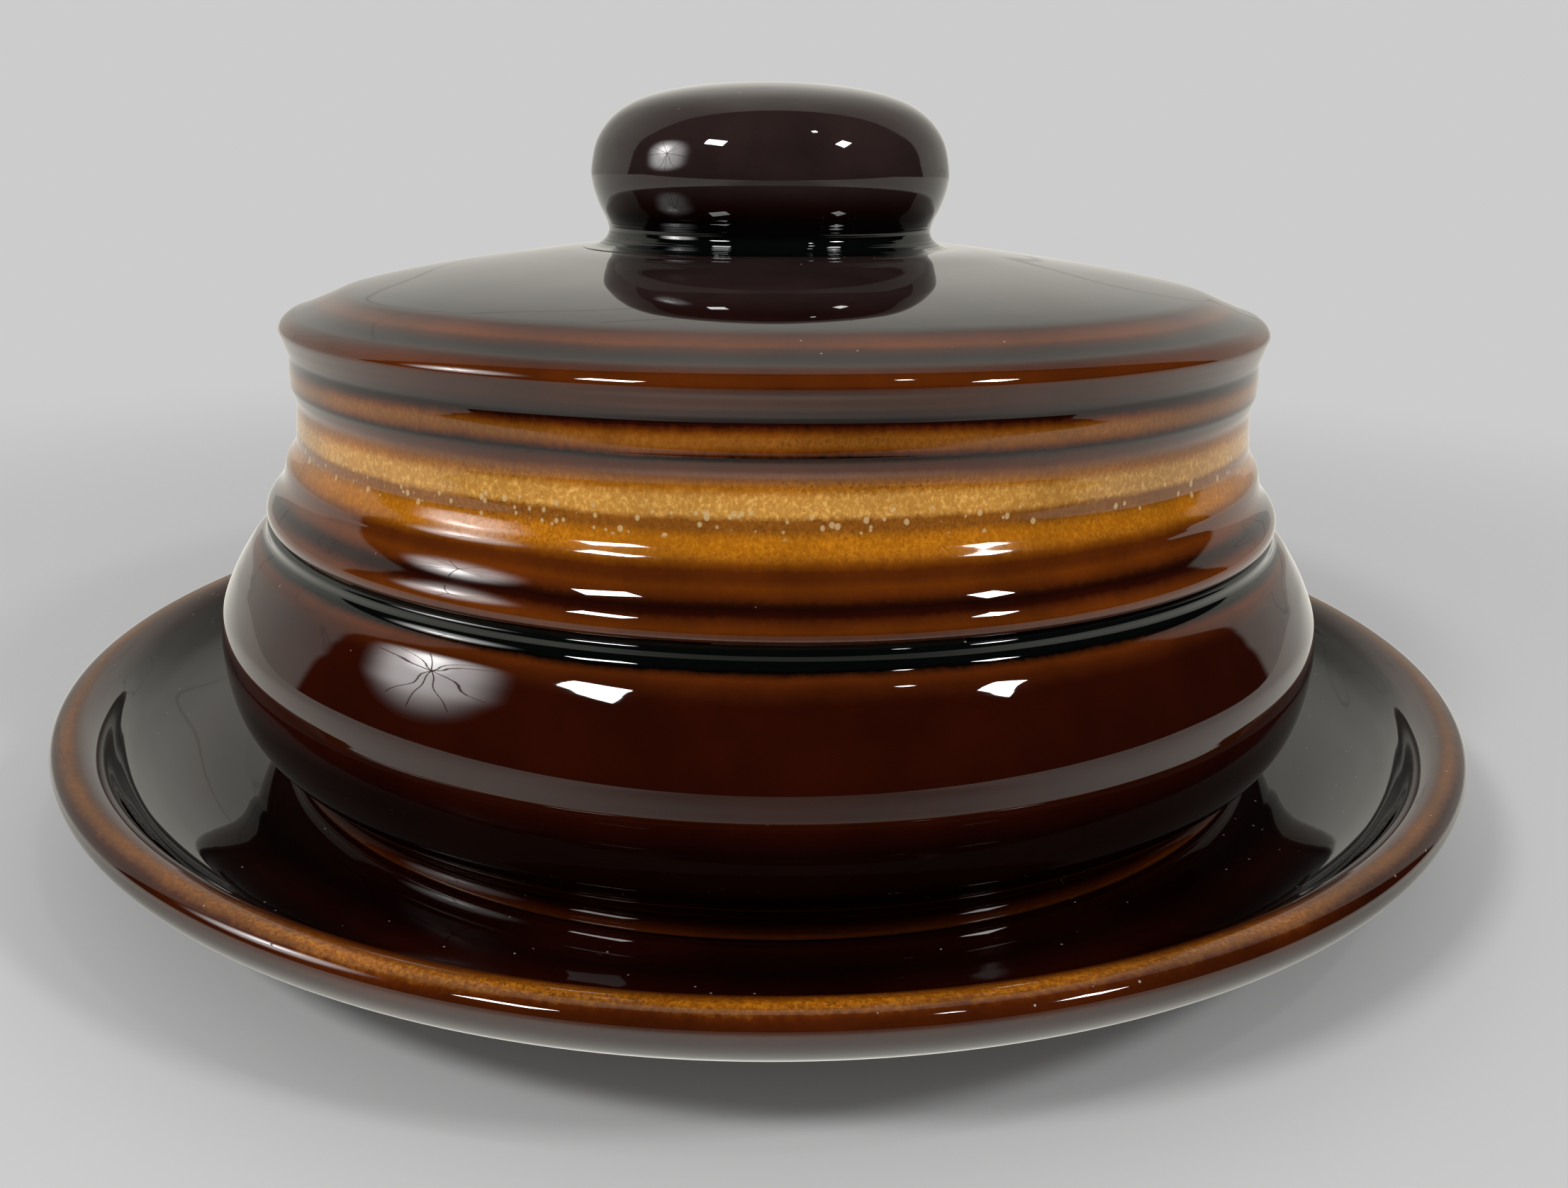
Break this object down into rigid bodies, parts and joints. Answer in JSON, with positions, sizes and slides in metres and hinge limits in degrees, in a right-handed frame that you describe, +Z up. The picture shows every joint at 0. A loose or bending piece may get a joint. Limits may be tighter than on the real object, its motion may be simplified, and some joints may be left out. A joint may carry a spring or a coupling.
{
  "type": "butter crock",
  "caption": "Low round covered dish with a swollen belly, a ridged domed lid with a mushroom knob, and a loose rolled-lip underplate.",
  "frame": {"origin": "centre of the underplate's foot, on the surface it stands on", "axes": "+Z up along the axis that all four turned pieces share"},
  "size_m": [0.2, 0.2, 0.0989],
  "materials": {
    "umber_glaze": "gloss glaze",
    "maroon_glaze": "gloss glaze",
    "amber_glaze": "gloss glaze, mottled",
    "dark_glaze": "gloss glaze"
  },
  "bodies": {
    "underplate": {"underplate": "umber_glaze"},
    "bowl": {"bowl": "maroon_glaze"},
    "lid": {"lid": "amber_glaze", "lid_knob": "dark_glaze"}
  },
  "joints": [
    {"name": "bowl_lift", "type": "slide", "parent": "underplate", "child": "bowl", "axis": [0, 0, 1], "range_m": [0, 0.1]},
    {"name": "lid_lift", "type": "slide", "parent": "bowl", "child": "lid", "axis": [0, 0, 1], "range_m": [0, 0.12]}
  ]
}
